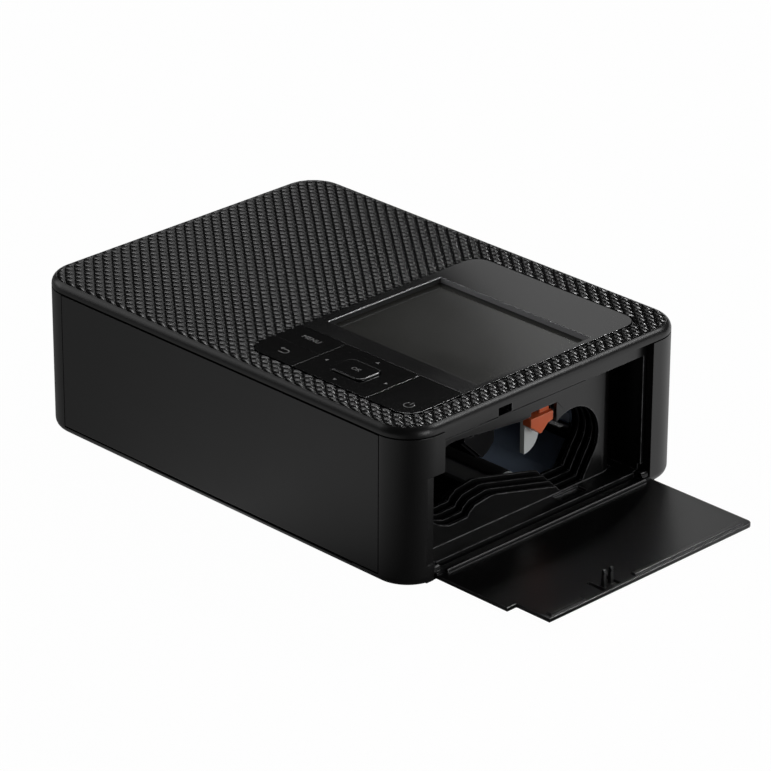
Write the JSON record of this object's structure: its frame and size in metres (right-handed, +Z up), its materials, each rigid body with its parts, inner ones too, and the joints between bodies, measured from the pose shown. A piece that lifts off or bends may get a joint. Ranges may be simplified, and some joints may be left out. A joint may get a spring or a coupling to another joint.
{
  "type": "compact photo printer",
  "caption": "Compact black photo printer with a sunken screen and keys on top, a ribbon bay behind a hinged side door, a paper mouth behind a front flap, and the driven parts inside.",
  "frame": {"origin": "middle of the underside of the case", "axes": "+X towards the side with the ribbon door, +Y towards the back, +Z up"},
  "size_m": [0.2291, 0.133, 0.0589],
  "materials": {
    "case": "fine satin black plastic",
    "cover": "satin black plastic with a raised diagonal weave",
    "inner": "satin black plastic",
    "gloss": "glossy black panel",
    "screen": "dark screen, switched off",
    "rubber": "black rubber",
    "steel": "bare steel",
    "dark_steel": "blackened steel",
    "head_metal": "dark cast aluminium",
    "guide_sheet": "blue-grey coated sheet steel",
    "nylon": "white moulded plastic",
    "ceramic": "pale glazed ceramic",
    "orange": "orange moulded plastic",
    "board": "green circuit board",
    "brass": "brass"
  },
  "bodies": {
    "case": {"housing": "case", "base_plate": "case", "feet": "rubber", "case_screws": "dark_steel", "base_screws": "dark_steel", "top_cover": "cover", "panel_frame": "inner", "display_window": "gloss", "lcd_screen": "screen", "key_board": "board", "key_domes": "steel", "bay_frame": "inner", "cassette_guide": "inner", "cassette_catch": "nylon", "lever_pin": "steel", "chassis_right": "steel", "chassis_left": "steel", "gear_plate": "steel", "chassis_beams": "steel", "platen_bushes": "nylon", "gear_studs": "steel", "feed_motor": "dark_steel", "ribbon_motor": "dark_steel", "head_pivot_shaft": "steel", "paper_guides": "guide_sheet", "ribbon_shelf": "guide_sheet", "main_board": "board", "board_parts": "inner", "dc_jack": "inner", "usb_port": "steel", "card_socket": "steel"},
    "door": {"ribbon_door": "inner"},
    "front_flap": {"front_cover": "case"},
    "menu": {"menu_key": "gloss"},
    "back": {"back_key": "gloss"},
    "power": {"power_key": "gloss"},
    "ok": {"ok_key": "gloss"},
    "nav_cross": {"nav_gimbal": "steel"},
    "nav": {"nav_key": "gloss"},
    "lever": {"release_lever": "orange"},
    "capstan": {"capstan_roller": "steel", "capstan_gear": "nylon"},
    "pinch": {"pinch_roller": "rubber"},
    "platen": {"platen_roller": "rubber", "platen_shaft": "steel"},
    "pickup": {"pickup_shaft": "steel", "pickup_tyres": "rubber", "pickup_gear": "nylon"},
    "idler_a": {"idler_gear_a": "nylon"},
    "idler_b": {"idler_gear_b": "nylon"},
    "feed_drive": {"feed_pinion": "brass"},
    "ribbon_drive": {"ribbon_pinion": "brass"},
    "takeup": {"takeup_hub": "nylon"},
    "supply": {"supply_hub": "nylon"},
    "cam_idler": {"cam_idler_gear": "nylon"},
    "cam": {"cam_shaft": "steel", "cam_gear": "nylon"},
    "head": {"head_carrier": "head_metal", "print_head": "ceramic"},
    "exit": {"exit_roller": "rubber"}
  },
  "joints": [
    {"name": "door_hinge", "type": "hinge", "parent": "case", "child": "door", "pos_m": [0.0889, -0.00205, 0.0041], "axis": [0, 1, 0], "range_deg": [-90, 0]},
    {"name": "front_hinge", "type": "hinge", "parent": "case", "child": "front_flap", "pos_m": [0, -0.0643, 0.0055], "axis": [1, 0, 0], "range_deg": [0, 90]},
    {"name": "menu_press", "type": "slide", "parent": "case", "child": "menu", "axis": [0, 0, -1], "range_m": [0, 0.00035], "stiffness_N_per_m": 300, "springref_m": -0.0003},
    {"name": "back_press", "type": "slide", "parent": "case", "child": "back", "axis": [0, 0, -1], "range_m": [0, 0.00035], "stiffness_N_per_m": 300, "springref_m": -0.0003},
    {"name": "power_press", "type": "slide", "parent": "case", "child": "power", "axis": [0, 0, -1], "range_m": [0, 0.00035], "stiffness_N_per_m": 300, "springref_m": -0.0003},
    {"name": "ok_press", "type": "slide", "parent": "case", "child": "ok", "axis": [0, 0, -1], "range_m": [0, 0.00035], "stiffness_N_per_m": 300, "springref_m": -0.0003},
    {"name": "nav_tilt_ends", "type": "hinge", "parent": "case", "child": "nav_cross", "pos_m": [0.0442, -0.044, 0.05485], "axis": [1, 0, 0], "range_deg": [-1.5, 1.5], "stiffness_Nm_per_rad": 0.08},
    {"name": "nav_tilt_sides", "type": "hinge", "parent": "nav_cross", "child": "nav", "pos_m": [0.0442, -0.044, 0.05485], "axis": [0, 1, 0], "range_deg": [-1.5, 1.5], "stiffness_Nm_per_rad": 0.08},
    {"name": "lever_lift", "type": "hinge", "parent": "case", "child": "lever", "pos_m": [0.0581, 0.01125, 0.0432], "axis": [0, -1, 0], "range_deg": [0, 4], "stiffness_Nm_per_rad": 0.01, "springref_deg": -5.73},
    {"name": "head_swing", "type": "hinge", "parent": "case", "child": "head", "pos_m": [0, 0.024, 0.041], "axis": [1, 0, 0], "range_deg": [0, 17.8]},
    {"name": "capstan_spin", "type": "hinge", "parent": "case", "child": "capstan", "pos_m": [0, -0.02, 0.0105], "axis": [1, 0, 0], "continuous": true},
    {"name": "feed_spin", "type": "hinge", "parent": "case", "child": "feed_drive", "pos_m": [0, -0.01548, 0.01833], "axis": [1, 0, 0], "continuous": true},
    {"name": "idler_a_spin", "type": "hinge", "parent": "case", "child": "idler_a", "pos_m": [0, -0.03018, 0.00943], "axis": [1, 0, 0], "continuous": true},
    {"name": "idler_b_spin", "type": "hinge", "parent": "case", "child": "idler_b", "pos_m": [0, -0.04102, 0.00943], "axis": [1, 0, 0], "continuous": true},
    {"name": "pickup_spin", "type": "hinge", "parent": "case", "child": "pickup", "pos_m": [0, -0.05145, 0.01545], "axis": [1, 0, 0], "continuous": true},
    {"name": "pinch_spin", "type": "hinge", "parent": "case", "child": "pinch", "pos_m": [0, -0.02, 0.0053], "axis": [1, 0, 0], "continuous": true},
    {"name": "platen_spin", "type": "hinge", "parent": "case", "child": "platen", "pos_m": [0, 0.006, 0.0073], "axis": [1, 0, 0], "continuous": true},
    {"name": "exit_spin", "type": "hinge", "parent": "case", "child": "exit", "pos_m": [0, 0.05, 0.0055], "axis": [1, 0, 0], "continuous": true},
    {"name": "takeup_spin", "type": "hinge", "parent": "case", "child": "takeup", "pos_m": [0, -0.033, 0.0257], "axis": [1, 0, 0], "continuous": true},
    {"name": "ribbon_motor_spin", "type": "hinge", "parent": "case", "child": "ribbon_drive", "pos_m": [0, -0.03932, 0.03665], "axis": [1, 0, 0], "continuous": true},
    {"name": "cam_idler_spin", "type": "hinge", "parent": "case", "child": "cam_idler", "pos_m": [0, -0.0163, 0.03696], "axis": [1, 0, 0], "continuous": true},
    {"name": "cam_spin", "type": "hinge", "parent": "case", "child": "cam", "pos_m": [0, -0.00209, 0.04655], "axis": [1, 0, 0], "continuous": true},
    {"name": "supply_spin", "type": "hinge", "parent": "case", "child": "supply", "pos_m": [0, 0.0229, 0.0212], "axis": [1, 0, 0], "continuous": true}
  ],
  "couplings": [
    {"joint": "feed_spin", "follows": "capstan_spin", "ratio": -1.5},
    {"joint": "idler_a_spin", "follows": "capstan_spin", "ratio": -1.125},
    {"joint": "idler_b_spin", "follows": "capstan_spin", "ratio": 0.9},
    {"joint": "pickup_spin", "follows": "capstan_spin", "ratio": -0.9},
    {"joint": "ribbon_motor_spin", "follows": "takeup_spin", "ratio": -2.5},
    {"joint": "cam_idler_spin", "follows": "takeup_spin", "ratio": -0.81081},
    {"joint": "cam_spin", "follows": "takeup_spin", "ratio": 1.5}
  ]
}
